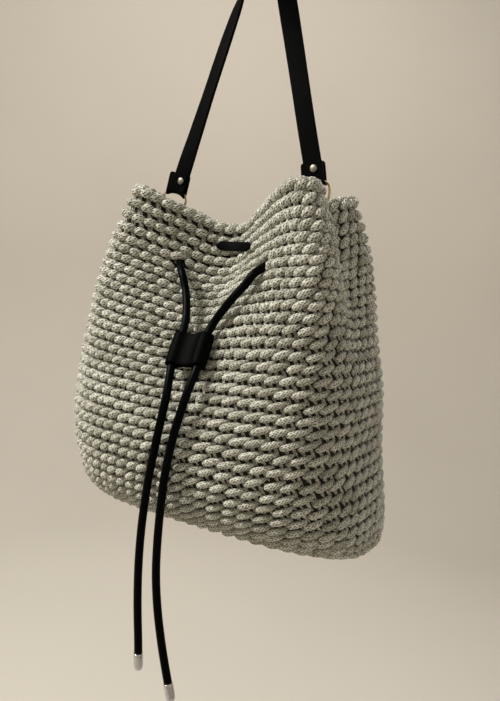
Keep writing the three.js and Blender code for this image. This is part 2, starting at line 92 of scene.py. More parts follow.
def smooth_way(points, spacing):
    """Smooth line through the points, read off at even spacing. Each span is a cubic whose end
    slopes weigh the neighbouring spans by the square roots of their lengths."""
    p = np.asarray(points, float)
    p = np.concatenate([[2 * p[0] - p[1]], p, [2 * p[-1] - p[-2]]])
    step = np.sqrt(np.linalg.norm(np.diff(p, axis=0), axis=1))[:, None]
    rate = np.diff(p, axis=0) / step
    slope = rate[:-1] - (p[2:] - p[:-2]) / (step[:-1] + step[1:]) + rate[1:]
    a, b = p[1:-2, None], p[2:-1, None]
    go, stop = (slope[:-1] * step[1:-1])[:, None], (slope[1:] * step[1:-1])[:, None]
    t = (np.arange(WAY_STEPS) / WAY_STEPS)[None, :, None]
    line = a + go * t + (3 * b - 3 * a - 2 * go - stop) * t**2 + (2 * a - 2 * b + go + stop) * t**3
    line = np.concatenate([line.reshape(-1, 3), p[-2:-1]])
    reach = np.r_[0, np.cumsum(np.linalg.norm(np.diff(line, axis=0), axis=1))]
    at = np.linspace(0, reach[-1], int(np.ceil(reach[-1] / spacing)) + 1)
    return np.stack([np.interp(at, reach, line[:, k]) for k in range(3)], -1)


def round_rings(line, reference, radius, sides, along=None):
    """Rings of points round a line, or round many lines at once. Each ring lies square to the line,
    starts on the side that faces the reference direction, and has the given radius."""
    along = unit(np.gradient(line, axis=-2) if along is None else along)
    out = unit(reference - np.sum(reference * along, -1, keepdims=True) * along)
    side = np.cross(along, out)
    turn = 2 * np.pi * np.arange(sides)[:, None] / sides
    radius = np.asarray(radius)[..., None, None]
    spoke = np.cos(turn) * out[..., None, :] + np.sin(turn) * side[..., None, :]
    return line[..., None, :] + radius * spoke


def length_uv(line, girth, sides):
    """Pattern coordinates of a tube in millimetres: length along the line, and way round it."""
    step = np.linalg.norm(np.diff(line, axis=-2), axis=-1)
    along = np.concatenate([np.zeros(step.shape[:-1] + (1,)), np.cumsum(step, -1)], -1) / MM
    round_ = np.arange(sides + 1) / sides * girth / MM
    return np.stack(np.broadcast_arrays(along[..., None], round_), -1)


def tube_piece(name, rings, uv=None, tint=None, closed=False, sharp=False, replaces=(),
               material=None):
    """Piece made of tubes. rings has the shape (tubes, rings, points round, 3): each ring is joined to
    the next by four-sided faces, and the two ends are closed by one face each, or to each other."""
    rings = np.asarray(rings, float)
    rings = rings.reshape((-1,) + rings.shape[-3:])
    tubes, count, sides, _ = rings.shape
    index = np.arange(tubes * count * sides).reshape(tubes, count, sides)
    this, after = (index, np.roll(index, -1, 1)) if closed else (index[:, :-1], index[:, 1:])
    quads = np.stack([this, np.roll(this, -1, 2), np.roll(after, -1, 2), after], -1).reshape(-1, 4)
    corners, starts = [quads.ravel()], [np.arange(len(quads)) * 4]
    if not closed:
        ends = np.concatenate([index[:, 0, ::-1], index[:, -1]])
        corners.append(ends.ravel())
        starts.append(len(quads) * 4 + np.arange(len(ends)) * sides)
    mesh = bpy.data.meshes.new(name)
    mesh.vertices.add(rings.size // 3)
    mesh.vertices.foreach_set("co", rings.astype(np.float32).ravel())
    corners, starts = np.concatenate(corners), np.concatenate(starts)
    mesh.loops.add(len(corners))
    mesh.loops.foreach_set("vertex_index", corners.astype(np.int32))
    mesh.polygons.add(len(starts))
    mesh.polygons.foreach_set("loop_start", starts.astype(np.int32))
    mesh.polygons.foreach_set("use_smooth", np.ones(len(starts), bool))
    if uv is not None:
        uv = np.broadcast_to(uv, (tubes, count, sides + 1, 2))
        ring_uv = [uv[:, :-1, :-1], uv[:, :-1, 1:], uv[:, 1:, 1:], uv[:, 1:, :-1]]
        end_uv = np.concatenate([uv[:, 0, -2::-1], uv[:, -1, :-1]])
        all_uv = np.concatenate([np.stack(ring_uv, 3).reshape(-1, 2), end_uv.reshape(-1, 2)])
        mesh.uv_layers.new(name="cord_mm").data.foreach_set("uv", all_uv.astype(np.float32).ravel())
    if tint is not None:
        per_point = np.repeat(np.asarray(tint, np.float32), count * sides)
        mesh.attributes.new("tint", "FLOAT", "POINT").data.foreach_set("value", per_point)
    mesh.update(calc_edges=True)
    mesh.validate()
    if sharp:
        mesh.set_sharp_from_angle(angle=SHARP_ANGLE)
    piece = bpy.data.objects.new(name, mesh)
    bpy.context.scene.collection.objects.link(piece)
    mesh.materials.append(material)
    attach(piece, "root")
    if replaces:
        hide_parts(*replaces)
    return piece


def linear(hex_colour):
    """Linear red, green, blue and alpha of an sRGB hex colour."""
    value = np.array([int(hex_colour[k:k + 2], 16) for k in (1, 3, 5)]) / 255
    value = np.where(value <= 0.04045, value / 12.92, ((value + 0.055) / 1.055) ** 2.4)
    return (*map(float, value), 1.0)


def node(tree, kind, inputs=None, **settings):
    """Adds a shader node with its settings. Each input, by name or number, is a value or a node's output."""
    made = tree.nodes.new("ShaderNode" + kind)
    for name, value in settings.items():
        setattr(made, name, value)
    for socket, value in (inputs or {}).items():
        if isinstance(value, bpy.types.NodeSocket):
            tree.links.new(value, made.inputs[socket])
        else:
            made.inputs[socket].default_value = value
    return made


def new_material(name):
    """An empty material and its node tree."""
    material = bpy.data.materials.new(name)
    material.use_nodes = True
    material.node_tree.nodes.clear()
    return material, material.node_tree


# Round leather cord, dyed black and waxed: nearly black, with a soft sheen broken by fine
# lengthwise creases, drawn 1.2 mm apart so that they show. Both sizes are in millimetres.
CREASE_LENGTH = 10.0
CREASE_APART = 1.176
cord_leather, tree = new_material("waxed_black_leather_cord")
place = node(tree, "UVMap", uv_map="cord_mm")
crease_scale = (1 / CREASE_LENGTH, 1 / CREASE_APART, 1.0)
creases = node(tree, "Mapping", {"Vector": place.outputs["UV"], "Scale": crease_scale})
crease = node(tree, "TexNoise", {"Vector": creases.outputs[0], "Scale": 1.0, "Detail": 4.0, "Roughness": 0.6})
shade = node(tree, "ValToRGB", {"Fac": crease.outputs["Fac"]})
shade.color_ramp.elements[0].color, shade.color_ramp.elements[1].color = linear("#010101"), linear("#050505")
gloss = node(tree, "MapRange", {"Value": crease.outputs["Fac"], "To Min": 0.32, "To Max": 0.50})
relief = node(tree, "Bump", {"Height": crease.outputs["Fac"], "Strength": 0.35, "Distance": 0.0004})
surface = node(tree, "BsdfPrincipled", {
    "Base Color": shade.outputs["Color"], "Roughness": gloss.outputs[0], "Normal": relief.outputs[0],
    "IOR": 1.5, "Specular IOR Level": 0.04})
node(tree, "OutputMaterial", {"Surface": surface.outputs[0]})


def in_lock(side, height):
    """Point in a channel of the lock, that high above its middle."""
    return LOCK_CENTRE + LOCK_TURN @ np.array([side * HALF_SPACING, 0, height])


TAIL_SIDES = 16
TAIL_STEP = 0.0016
INSIDE_STEP = 0.003
LOCK_POINTS = (0.015, 0.006, -0.006, -0.015)
MEET_DEPTH = 0.0046
MEET_GAP = 0.0003
LOOP_DEPTH = 0.0140
ways = {}
for name, hole, out, upper, side, lower in (
        ("left", HOLE_LEFT, OUT_LEFT, LEFT_UPPER, -1, LEFT_LOWER),
        ("right", HOLE_RIGHT, OUT_RIGHT, RIGHT_UPPER, 1, RIGHT_LOWER)):
    start = [hole + unit(out) * far for far in (-MEET_DEPTH, 0.0)]
    through = [in_lock(side, height) for height in LOCK_POINTS]
    ways[name] = smooth_way([*start, *upper, *through, *lower], TAIL_STEP)
start = [HOLE_LEFT - unit(OUT_LEFT) * far for far in (MEET_DEPTH + MEET_GAP, LOOP_DEPTH)]
stop = [HOLE_RIGHT - unit(OUT_RIGHT) * far for far in (LOOP_DEPTH, MEET_DEPTH + MEET_GAP)]
ways["loop"] = smooth_way([*start, *INSIDE_LOOP, *stop], INSIDE_STEP)
for name, facing in (("left", (1.0, 0, 0)), ("right", (1.0, 0, 0)), ("loop", (0, 0, 1.0))):
    way = ways[name]
    node_name = "drawstring_loop" if name == "loop" else "drawstring_tail_" + name
    tube_piece(
        "cord_" + name, round_rings(way, np.array(facing), np.full(len(way), CORD_RADIUS), TAIL_SIDES),
        uv=length_uv(way, 2 * np.pi * CORD_RADIUS, TAIL_SIDES), replaces=[node_name],
        material=cord_leather)

# End caps: bright silver bullet caps, turned and polished, glued over the two ends of the drawstring.
# Radius and depth from the cord's end, in millimetres: a rolled lip, a straight barrel and a round nose.
CAP_PROFILE = np.array([
    [0.2, 0.0], [3.2, 0.0], [3.55, 0.12], [3.7, 0.45], [3.7, 0.8], [3.55, 1.05], [3.5, 1.3], [3.6, 1.6],
    [3.65, 2.2], [3.65, 5.5], [3.65, 9.0], [3.6, 10.4], [3.42, 11.6], [3.1, 12.6], [2.6, 13.4], [1.9, 14.0],
    [1.1, 14.35], [0.3, 14.5]]) * MM
CAP_GAP = 0.3 * MM
CAP_SIDES = 32


def plated(name, low, high, gloss, grain):
    """Plated metal: fine wear changes the shade and the roughness a little. The grain is in millimetres."""
    material, tree = new_material(name)
    place = node(tree, "TexCoord")
    wear = node(tree, "TexNoise", {
        "Vector": place.outputs["Object"], "Scale": 1 / (grain * MM), "Detail": 3.0})
    rough = node(tree, "MapRange", {"Value": wear.outputs["Fac"], "To Min": gloss[0], "To Max": gloss[1]})
    shade = node(tree, "ValToRGB", {"Fac": wear.outputs["Fac"]})
    shade.color_ramp.elements[0].color, shade.color_ramp.elements[1].color = linear(low), linear(high)
    relief = node(tree, "Bump", {"Height": wear.outputs["Fac"], "Strength": 0.06, "Distance": 0.0002})
    surface = node(tree, "BsdfPrincipled", {
        "Base Color": shade.outputs["Color"], "Roughness": rough.outputs[0], "Normal": relief.outputs[0],
        "Metallic": 1.0})
    node(tree, "OutputMaterial", {"Surface": surface.outputs[0]})
    return material


# Silver plate, polished: bright and nearly white, with clear reflections.
silver = plated("polished_silver_plate", "#b9babc", "#d8d9da", (0.12, 0.30), 2.381)
for name in ("left", "right"):
    way = ways[name]
    lower = np.array(LEFT_LOWER if name == "left" else RIGHT_LOWER)
    along = unit(lower[-1] - lower[-2])
    middle = way[-1] + along * (CAP_PROFILE[:, 1:] + CAP_GAP)
    rings = round_rings(middle, np.array([1.0, 0, 0]), CAP_PROFILE[:, 0], CAP_SIDES,
                        along=np.broadcast_to(along, middle.shape))
    tube_piece("cap_" + name, rings, replaces=["end_cap_" + name],
                            material=silver)

# Crochet body: a soft bucket worked in rounds from a thick knitted tube of grey cotton.
# It is a squared oval low down, and its rim is drawn in and folds in at the front, the back and the sides.
BAG_X = -6.8 * MM
WALL = 9.0 * MM
SQUARENESS = 3.2
PLAN_STRETCH = 1.42
FADE_ROWS = 21.0
FADE_SWING = 3.0
FOLD_SHARES = np.array([0, 0.148, 0.25, 0.352, 0.5, 0.648, 0.75, 0.852, 1])
# row, half width, half depth, shift in x, height, the last four in millimetres
SECTIONS = np.array([
    [0, 98.9, 66.5, 4.5, -195.5], [4, 113.8, 75.5, 4.0, -236.9], [8, 120.4, 82.9, 2.0, -272.2],
    [12, 123.1, 88.7, 0.5, -308.6], [17, 129.0, 90.8, 0.0, -354.5], [22, 130.7, 93.9, 1.0, -400.8],
    [26, 131.7, 87.2, 6.7, -437.7], [28, 132.2, 79.5, 9.8, -453.8], [30, 131.6, 66.2, 12.0, -466.8],
    [31.5, 130.0, 54.1, 12.5, -473.6], [32.7, 121.0, 44.0, 12.5, -476.0]]) * [1, MM, MM, MM, MM]
# stations of the rim from the front middle to the back middle: x to either side, y, drop right, drop left
RIM = np.array([
    [0, -4, 29.5, 29.5], [19, -14, 18, 30], [37, -28, 9, 21], [54, -43, 3, 13.5], [69, -52, 0.5, 7.5],
    [82, -47, 0, 4.5], [80.5, -26, 1.5, 7], [64, 0, 12, 18], [75.5, 28, 3, 17.5], [77, 49, 0, 19],
    [66, 56, 2, 22], [54, 51, 9, 25], [38, 43, 20, 32], [20, 37, 29, 36.5], [0, 35, 35, 35]]) * MM
RIM_STEPS = 64
OVAL_STEPS = 180
LAST_ROW = SECTIONS[-1, 0]
around = np.concatenate([RIM[:, :3], RIM[-2:0:-1][:, [0, 1, 3]] * [-1, 1, 1]])
t = (np.arange(RIM_STEPS) / RIM_STEPS)[None, :, None]
p0, p1, p2, p3 = (np.roll(around, k, 0)[:, None, :] for k in (1, 0, -1, -2))
squared, cubed = 2 * p0 - 5 * p1 + 4 * p2 - p3, 3 * p1 - p0 - 3 * p2 + p3
rim_line = 0.5 * (2 * p1 + (p2 - p0) * t + squared * t**2 + cubed * t**3)
rim_line = np.concatenate([rim_line.reshape(-1, 3), around[:1]])
rim_marks = np.array([0, 4, 7, 10, 14, 18, 21, 24, 28]) * RIM_STEPS
turn = np.linspace(-0.5 * np.pi, 1.5 * np.pi, 8 * OVAL_STEPS + 1)
grow = (np.abs(np.cos(turn)) ** SQUARENESS + np.abs(np.sin(turn)) ** SQUARENESS) ** (-1 / SQUARENESS)
oval_line = np.stack([PLAN_STRETCH * np.cos(turn) * grow, np.sin(turn) * grow], -1)
oval_marks = np.arange(9) * OVAL_STEPS


def by_length(line, marks, share):
    """A closed line read off by its length in plan between marked points, which get the fold shares."""
    reach = np.r_[0, np.cumsum(np.linalg.norm(np.diff(line[:, :2], axis=0), axis=1))]
    at = np.interp(np.mod(share, 1.0), FOLD_SHARES, reach[marks])
    return np.stack([np.interp(at, reach, line[:, k]) for k in range(line.shape[1])], -1)


def section(column, row):
    """One column of the sections at any row, by a cubic through the rows with evened-out slopes."""
    x, v = SECTIONS[:, 0], SECTIONS[:, column]
    slope = np.gradient(v, x)
    k = np.clip(np.searchsorted(x, row) - 1, 0, len(x) - 2)
    span = x[k + 1] - x[k]
    t = (row - x[k]) / span
    ease = t * t * (3 - 2 * t)
    return (1 - ease) * v[k] + ease * v[k + 1] + span * t * (1 - t) * ((1 - t) * slope[k] - t * slope[k + 1])


def wall(share, row):
    """Point on the outer face of the wall, share of the girth from the front middle and rows down from
    the rim: the squared oval of that row, changed near the rim into the drawn-in and folded rim line."""
    share, row = np.broadcast_arrays(share, row)
    rim = by_length(rim_line, rim_marks, share)
    oval = by_length(oval_line, oval_marks, share)
    left = np.clip(1 - row / (FADE_ROWS + FADE_SWING * np.cos(4 * np.pi * share)), 0, 1)
    fade = left * left * (3 - 2 * left)
    ex, ey = oval[..., 0] / PLAN_STRETCH, oval[..., 1]
    x = section(1, row) * ex + fade * (rim[..., 0] - SECTIONS[0, 1] * ex) + section(3, row) + BAG_X
    y = section(2, row) * ey + fade * (rim[..., 1] - SECTIONS[0, 2] * ey)
    return np.stack([x, y, section(4, row) - fade * rim[..., 2]], -1)


EVEN_SHARE = 0.02
EVEN_ROWS = 0.3


def outward(share, row):
    """Direction square to the wall, evened out over a short stretch round the bag."""
    across = wall(share + EVEN_SHARE, row) - wall(share - EVEN_SHARE, row)
    down = wall(share, np.minimum(row + EVEN_ROWS, LAST_ROW)) - wall(share, np.maximum(row - EVEN_ROWS, 0))
    return unit(np.cross(down, across))


# Knitted cotton cord: a matt grey tube of fine knit, 6 mm thick. Its stitches stand in lines along the cord,
# 1.4 mm apart, with a long gap between each two, painted dark as shade, and the colour changes a little from
# loop to loop.
# Sizes of a stitch and of the shade's clouds in millimetres.
KNIT_ALONG = 2.4
KNIT_ACROSS = 1.4
KNIT_CLOUD = 18.18


def knitted_cotton(name, dark, low, high, gap_depth):
    """Material of the knitted cord: gaps at the points of a slanted grid along and round the cord, sunk by a
    bump and painted dark as shade.
    """
    material, tree = new_material(name)
    place = node(tree, "UVMap", uv_map="cord_mm")
    knit_scale = (1 / KNIT_ALONG, 1 / KNIT_ACROSS, 0)
    grid = node(tree, "VectorMath", {0: place.outputs["UV"], 1: knit_scale}, operation="MULTIPLY")
    part = node(tree, "SeparateXYZ", {0: grid.outputs[0]})
    slant = node(tree, "Math", {0: part.outputs["Y"], 1: 0.5, 2: part.outputs["X"]}, operation="MULTIPLY_ADD")
    cell = node(tree, "CombineXYZ", {"X": slant.outputs[0], "Y": part.outputs["Y"]})
    gaps = node(tree, "TexVoronoi", {"Vector": cell.outputs[0], "Scale": 1.0, "Randomness": 0.4},
                voronoi_dimensions="2D")
    gap = node(tree, "MapRange", {"Value": gaps.outputs["Distance"], "From Min": 0.15, "From Max": 0.40},
               interpolation_type="SMOOTHSTEP")
    tint = node(tree, "Attribute", attribute_name="tint")
    cloud = node(tree, "TexNoise", {
        "Vector": node(tree, "TexCoord").outputs["Object"], "Scale": 1 / (KNIT_CLOUD * MM), "Detail": 2.0})
    mixed = node(tree, "Math", {0: tint.outputs["Fac"], 1: 0.65, 2: cloud.outputs["Fac"]},
                 operation="MULTIPLY_ADD")
    thread = node(tree, "ValToRGB", {"Fac": mixed.outputs[0]})
    thread.color_ramp.elements[0].color, thread.color_ramp.elements[1].color = linear(low), linear(high)
    thread.color_ramp.elements[0].position, thread.color_ramp.elements[1].position = 0.45, 1.0
    # The gaps get the dark colour: painted shade in the recesses between the stitches.
    shade = node(tree, "Mix", {"Factor": gap.outputs[0], 6: linear(dark), 7: thread.outputs["Color"]},
                 data_type="RGBA")
    relief = node(tree, "Bump", {"Height": gap.outputs[0], "Strength": 0.8, "Distance": gap_depth})
    surface = node(tree, "BsdfPrincipled", {
        "Base Color": shade.outputs[2], "Normal": relief.outputs[0], "Roughness": 0.88,
        "Specular IOR Level": 0.25, "Sheen Weight": 0.12, "Sheen Roughness": 0.5})
    node(tree, "OutputMaterial", {"Surface": surface.outputs[0]})
    return material


cotton = knitted_cotton("knitted_grey_cotton_cord", "#211f18", "#b7b6a7", "#d8d7ca", 0.0009)

# Stitches: 33 rounds of 64, each round set off by part of a stitch from the round above it.
# Every strand of cord is placed by its stitch, its round and its depth in the wall, unevenly as by hand.
STITCHES = 64
ROW_SHIFT = -0.36
rows = np.arange(33.0)
columns = np.arange(float(STITCHES))
# crochet rounds counted on the bag against the rows of the sections
ROUNDS = np.array([0, 11.0, 21.2, 30.8, 33.2])
ROUNDS_AT = np.array([0, 10.0, 20.0, 30.0, LAST_ROW])
# by this share the front's stitches low on the bag are wider than the mean at the right, narrower at the left
STRETCH = 0.13
STRETCH_FROM = 6.0
STRETCH_OVER = 10.0
# unevenness: length and place along in stitches, slant as a share, height in rounds, and depth
UNEVEN_LENGTH = 0.04
UNEVEN_PLACE = 0.05
UNEVEN_SLANT = 0.08
UNEVEN_HEIGHT = 0.035
UNEVEN_DEPTH = 0.2 * MM
PUSH = 3.8 * MM
PUSH_WIDTH = 5.5 * MM
PUSH_REACH = 20.0 * MM
random = np.random.default_rng(7)


def push_from_holes(line):
    """Points of the cord moved aside from the two holes that the drawstring passes through, most at the
    middle of a hole and less by a bell curve with the distance from it."""
    for hole, out in ((HOLE_LEFT, unit(OUT_LEFT)), (HOLE_RIGHT, unit(OUT_RIGHT))):
        away = line - hole
        near = np.linalg.norm(away, axis=-1, keepdims=True) < PUSH_REACH
        away = away - np.sum(away * out, -1, keepdims=True) * out
        far = np.linalg.norm(away, axis=-1, keepdims=True)
        line = line + near * unit(away) * PUSH * np.exp(-((far / PUSH_WIDTH) ** 2))
    return line


def stitch_lines(row, column, along, rise, depth, loose):
    """Middle lines of like stitches: for each stitch of each round, points that far along in stitches,
    that far up in rounds and that deep in the wall. loose scales the seeded unevenness."""
    shape = (len(row), len(column), 1)
    wobble = random.normal(0, 1, (5,) + shape) * loose
    share = column[None, :, None] + ROW_SHIFT * row[:, None, None]
    share = (share + along * (1 + UNEVEN_LENGTH * wobble[0]) + UNEVEN_PLACE * wobble[1]) / STITCHES
    level = row[:, None, None] + 0.5 - rise * (1 + UNEVEN_SLANT * wobble[2]) + UNEVEN_HEIGHT * wobble[3]
    level = np.interp(level, ROUNDS, ROUNDS_AT)
    front = np.clip(np.mod(share + 0.5, 1.0) - 0.5, -0.25, 0.25)
    stretched = STRETCH * np.clip((level - STRETCH_FROM) / STRETCH_OVER, 0, 1)
    share = share + stretched * (1 - np.cos(4 * np.pi * front)) / (4 * np.pi)
    sunk = depth + UNEVEN_DEPTH * np.abs(wobble[4])
    out = outward(share, level)
    line = wall(share, level) - out * sunk[..., None]
    size = (-1, line.shape[2], 3)
    start = np.mod(share.mean(-1), 1.0).ravel()
    return push_from_holes(line).reshape(size), out.reshape(size), start


PATTERN_SHIFT = 40


def knit_places(lines, radius, sides, most_tint):
    """Pattern coordinates of many strands, each starting elsewhere in the knit, and a tint for each."""
    start = random.uniform(0, PATTERN_SHIFT, (len(lines), 1, 1, 2))
    return length_uv(lines, 2 * np.pi * radius, sides) + start, random.uniform(0, most_tint, len(lines))


def strand_piece(name, lines, out, size, radius, sides, most_tint):
    """Piece of many strands of the knitted cord: round tubes along their middle lines."""
    uv, tint = knit_places(lines, radius, sides, most_tint)
    return tube_piece(name, round_rings(lines, out, size, sides), uv=uv, tint=tint,
                      material=cotton)


# Outer loops: the front of each stitch is a slanted loop of cord whose low left end lies over
# the high right end of the loop before it, so that a round looks like a thick twisted rope.
# Near the rim the loops are short and plump. Low on the bag, and most at its right, they are long and thin.
LOOP_RADIUS = 2.6 * MM
LOOP_SIDES = 9
# seven points of a loop: place along in stitches, depth of the middle line and radius
SHORT_LOOP = np.array([-0.60, -0.53, -0.38, -0.12, 0.17, 0.42, 0.66])
SHORT_DEPTH = LOOP_RADIUS + np.array([0.6, -0.1, -0.8, -0.9, 0.1, 1.6, 3.4]) * MM
SHORT_SIZE = LOOP_RADIUS * np.array([0.36, 0.66, 0.96, 1.13, 1.00, 0.70, 0.32])
LONG_LOOP = np.array([-0.60, -0.55, -0.44, -0.20, 0.14, 0.46, 0.72])
LONG_DEPTH = LOOP_RADIUS + np.array([1.2, 0.3, -0.4, -0.5, -0.1, 0.7, 2.0]) * MM
LONG_SIZE = 0.95 * LOOP_RADIUS * np.array([0.42, 0.80, 1.02, 1.06, 1.02, 0.84, 0.40])
# on the front's right ridge the upper loops are longer on the crest and shorter on the slope to its left:
# share of the girth, spread and change in length
CREST_AT, CREST_SPREAD, CREST_LONGER = 0.168, 0.028, 0.14
SLOPE_AT, SLOPE_SPREAD, SLOPE_SHORTER = 0.085, 0.045, 0.16


def below(start, over):
    """For each round a share that grows from 0 to 1 over that many rounds below the starting one."""
    return np.clip((rows - start) / over, 0, 1)[:, None, None]


loop_place = (columns[None, :, None] + ROW_SHIFT * rows[:, None, None]) / STITCHES
to_right = np.sin(2 * np.pi * loop_place)
low_down = below(3, 14)
drawn_out = low_down * (0.62 + 0.38 * to_right)
# slant in rounds per stitch: near the rim it grows from left to right, low down it is nearly even
rim_slant = 0.38 + 0.26 * to_right + 0.10 * np.maximum(0, to_right)
low_slant = 0.47 - 0.05 * to_right
loop_slant = rim_slant + low_down * (low_slant - rim_slant)
crest = np.exp(-(((np.mod(loop_place, 1.0) - CREST_AT) / CREST_SPREAD) ** 2))
slope = np.exp(-(((np.mod(loop_place, 1.0) - SLOPE_AT) / SLOPE_SPREAD) ** 2))
longer = 1 + (1 - below(7, 8)) * (CREST_LONGER * crest - SLOPE_SHORTER * slope)
loop_along = (SHORT_LOOP + drawn_out * (LONG_LOOP - SHORT_LOOP)) * longer
loop_depth = SHORT_DEPTH + drawn_out * (LONG_DEPTH - SHORT_DEPTH)
# thickness: plumper at the left than at the right near the rim, and squeezed in the lowest rounds
plump_size = (1.25 - 0.09 * to_right) * SHORT_SIZE
squeezed = 1 - 0.14 * below(27, 4)
loop_size = (plump_size + drawn_out * (LONG_SIZE - plump_size)) * squeezed
loops, loops_out, loops_at = stitch_lines(rows, columns, loop_along, loop_slant * loop_along, loop_depth, 1.0)
loop_rings = round_rings(loops, loops_out, loop_size.reshape(loops.shape[:2]), LOOP_SIDES)
loop_uv, loop_tint = knit_places(loops, LOOP_RADIUS, LOOP_SIDES, 1)
in_front = np.abs(np.mod(loops_at + 0.5, 1.0) - 0.5) < 0.25
for name, chosen in (("crochet_front", in_front), ("crochet_back", ~in_front)):
    tube_piece(name, loop_rings[chosen], uv=loop_uv[chosen], tint=loop_tint[chosen],
               replaces=["bag_body"], material=cotton)

# Posts: short strands of the same cord under each loop that lean back down to the round below and show in
# the gaps between the rounds: two for each loop, but near the rim a single thicker one.
POST_RADIUS = 1.7 * MM
RIM_POST_RADIUS = 2.5 * MM
RIM_ROUNDS = 6
POST_SIDES = 6
POST_DEPTH = LOOP_RADIUS + np.array([3.4, 2.8, 3.4]) * MM
t = np.linspace(0, 1, 3)
strands = np.arange(0, STITCHES, 0.5)
posts, posts_out, _ = stitch_lines(rows[:-1], strands, 0.10 + 0.36 * t, -0.05 - 0.80 * t, POST_DEPTH, 0.6)
near_rim = np.repeat(rows[:-1] < RIM_ROUNDS, len(strands))
shown = ~near_rim | np.tile(strands % 1 == 0, len(rows) - 1)
post_size = np.where(near_rim, RIM_POST_RADIUS, POST_RADIUS)[shown]
post_size = np.repeat(post_size[:, None], len(t), 1)
strand_piece("crochet_posts", posts[shown], posts_out[shown], post_size, POST_RADIUS, POST_SIDES, 0.6)

# Inside loops: the back of each stitch, a shorter and flatter bump of the same cord that lines
# the inside of the bag, where no lining covers it.
INSIDE_RADIUS = 2.4 * MM
INSIDE_SIDES = 7
INSIDE_DEPTH = WALL - INSIDE_RADIUS - np.array([1.5, 0.2, 0.0, 0.2, 1.5]) * MM
INSIDE_SIZE = INSIDE_RADIUS * np.array([0.6, 0.95, 1.0, 0.95, 0.6])
t = np.linspace(0, 1, 5)
bump_rise = 0.12 * np.sin((t - 0.5) * np.pi)
bumps, bumps_out, _ = stitch_lines(rows, columns, -0.56 + 1.12 * t, bump_rise, INSIDE_DEPTH, 0.6)
strand_piece("crochet_inside", bumps, -bumps_out, INSIDE_SIZE, INSIDE_RADIUS, INSIDE_SIDES, 0.7)

# Rim edge: the closing round of the same cord, whose loops lie on top of the wall
# in two slanted lines, an outer and an inner one.
EDGE_RADIUS = 2.5 * MM
EDGE_LIFT = np.array([-3.4, -2.6, -1.2, -0.1, 0.2, -0.8, -2.6]) * MM - EDGE_RADIUS
EDGE_SIZE = EDGE_RADIUS * np.array([0.36, 0.74, 0.98, 1.04, 1.0, 0.82, 0.46])
EDGE_APART = 2.2 * MM
EDGE_SWAY = 1.6 * MM
UP = np.array([0, 0, 1.0])
edges = []
for side, shift in ((1, 0.0), (-1, 0.45)):
    share = (columns[:, None] + shift + SHORT_LOOP) / STITCHES
    top = np.zeros_like(share)
    level = unit(outward(share, top) * [1, 1, 0])
    sway = side * (EDGE_APART + EDGE_SWAY * SHORT_LOOP) - 0.5 * WALL
    edges.append(wall(share, top) + level * sway[:, None] + UP * EDGE_LIFT[:, None])
strand_piece("crochet_rim", np.concatenate(edges), UP, EDGE_SIZE, EDGE_RADIUS, LOOP_SIDES, 1)

# Base: oval rounds of the same stitch that grow from a chain along the middle of the underside
# and meet the lowest round of the wall.
BASE_HALF = (121.0 * MM, 44.0 * MM)
BASE_ROUNDS = 5
ROUND_WIDTH = 8.8 * MM
BASE_STITCH = 11.7 * MM
BASE_SHIFT = 0.3
CHAIN_HALF = 3.2 * MM
BASE_STEPS = 720
plan = by_length(oval_line, oval_marks, np.linspace(0, 1, BASE_STEPS + 1)[:-1])
plan = np.concatenate([plan, plan[:1]]) / [PLAN_STRETCH, 1]
base_lines = []
for k in range(BASE_ROUNDS):
    inset = (k + 0.5) * ROUND_WIDTH
    ring = plan * [BASE_HALF[0] - inset, max(BASE_HALF[1] - inset, CHAIN_HALF)]
    reach = np.r_[0, np.cumsum(np.linalg.norm(np.diff(ring, axis=0), axis=1))]
    count = int(round(reach[-1] / BASE_STITCH))
    at = np.mod((np.arange(count)[:, None] + BASE_SHIFT * k + LONG_LOOP) / count, 1.0) * reach[-1]
    x, y = (np.interp(at, reach, ring[:, axis]) for axis in (0, 1))
    to_middle = unit(np.stack([-x * (BASE_HALF[1] / BASE_HALF[0]) ** 2, -y], -1))
    flat = np.stack([x, y], -1) + to_middle * (0.5 * LONG_LOOP * ROUND_WIDTH)[:, None]
    deep = np.broadcast_to(SECTIONS[-1, 4] + LONG_DEPTH, at.shape)
    base_lines.append(np.stack([flat[..., 0] + BAG_X + SECTIONS[-1, 3], flat[..., 1], deep], -1))
strand_piece("crochet_base", np.concatenate(base_lines), -UP, LONG_SIZE, LOOP_RADIUS, LOOP_SIDES, 1)

# Ground of the crochet: the hidden middle of the wall and base, where the cords cross and fill the gaps.
# It is one thin closed shell, up the outside, over below the rim edge and down the inside.
GROUND_STEPS = 128
GROUND_OUTER = 4.6 * MM
GROUND_INNER = 6.0 * MM
FLOOR_ROW = 31.6
# girth of the bag and height of a round in millimetres, for the knit's pattern
GROUND_GIRTH = 750.0
GROUND_ROUND = 8.8
# The same cotton in the shade of the loops: dark, because little light gets between them.
ground_cotton = knitted_cotton("shaded_grey_cotton_cord", "#0d0c0a", "#211f1b", "#332f2a", 0.0006)
to_centre = np.array([0.02, 0.4, 0.75])
outer_rows = np.r_[np.linspace(LAST_ROW, 30, 7), np.linspace(29, 0.5, 40)]
inner_rows = np.r_[np.linspace(0.5, 29, 40), np.linspace(30, FLOOR_ROW, 5)]
ground_row = np.r_[[LAST_ROW] * 3, outer_rows, inner_rows, [FLOOR_ROW] * 3]
ground_depth = np.r_[np.full(len(outer_rows) + 3, GROUND_OUTER), np.full(len(inner_rows) + 3, GROUND_INNER)]
ground_size = np.r_[to_centre, np.ones(len(outer_rows) + len(inner_rows)), to_centre[::-1]]
share = (np.arange(GROUND_STEPS) / GROUND_STEPS)[None, :]
grid = wall(share, ground_row[:, None]) - outward(share, ground_row[:, None]) * ground_depth[:, None, None]
centre = np.array([BAG_X + SECTIONS[-1, 3], 0.0])
grid[..., :2] = centre + (grid[..., :2] - centre) * ground_size[:, None, None]
